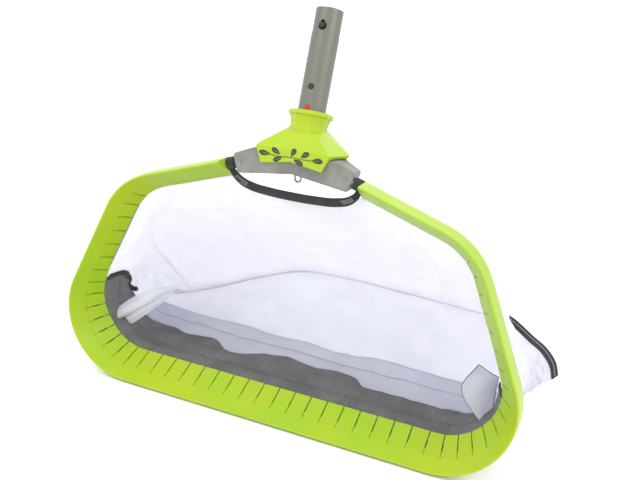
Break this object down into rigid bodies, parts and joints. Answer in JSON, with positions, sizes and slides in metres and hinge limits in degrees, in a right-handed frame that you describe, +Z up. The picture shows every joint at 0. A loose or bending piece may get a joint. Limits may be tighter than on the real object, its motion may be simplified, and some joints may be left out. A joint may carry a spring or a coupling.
{
  "type": "leaf skimmer net",
  "caption": "Deep-bag pool leaf skimmer head: slotted lime scoop edge on a bent rod hoop, cast bracket, pole tube with snap-button clip, sewn net bag.",
  "frame": {"origin": "on the handle tube's axis, where a pole's end comes to rest against the collar's rim", "axes": "+X to the right across the mouth, the mouth faces -Y and the bag hangs towards +Y, +Z up; the handle tube leans back from +Z towards +Y by 12.7 degrees"},
  "size_m": [0.52, 0.2489, 0.4321],
  "materials": {
    "lime_plastic": "semi-gloss moulded lime green",
    "rod_aluminium": "drawn rod",
    "cast_aluminium": "grey cast, fine grain",
    "tube_aluminium": "satin anodised tube",
    "zinc_steel": "zinc plated",
    "black_steel": "black oxide",
    "red_plastic": "red",
    "black_webbing": "woven webbing",
    "dark_mesh": "heavy open mesh",
    "white_net": "fine translucent net",
    "white_tape": "folded net hem"
  },
  "bodies": {
    "root": {"scoop_blade": "lime_plastic", "yoke_shell_front": "lime_plastic", "yoke_shell_rear": "lime_plastic", "hoop_rod": "rod_aluminium", "bracket": "cast_aluminium", "handle_tube": "tube_aluminium", "hanging_staple": "zinc_steel", "shell_screws": "zinc_steel", "rod_set_screws": "zinc_steel", "clip_base": "black_steel", "tube_rivet": "red_plastic", "strap_top": "black_webbing", "strap_loop_left": "black_webbing", "strap_loop_right": "black_webbing", "far_seam_binding": "black_webbing", "wear_strip": "dark_mesh", "rim_tape": "dark_mesh", "net_sleeve": "dark_mesh", "bag_net": "white_net", "corner_ear_left": "white_net", "corner_ear_right": "white_net", "hem_band": "white_tape"},
    "clip_front": {"clip_arm_front": "black_steel", "snap_button_front": "black_steel"},
    "clip_rear": {"clip_arm_rear": "black_steel", "snap_button_rear": "black_steel"}
  },
  "joints": [
    {"name": "snap_button_front_press", "type": "hinge", "parent": "root", "child": "clip_front", "pos_m": [0, -0.00428, 0.03274], "axis": [-1, 0, 0], "range_deg": [0, 4.2], "stiffness_Nm_per_rad": 8},
    {"name": "snap_button_rear_press", "type": "hinge", "parent": "root", "child": "clip_rear", "pos_m": [0, 0.01791, 0.02774], "axis": [1, 0, 0], "range_deg": [0, 4.2], "stiffness_Nm_per_rad": 8}
  ]
}
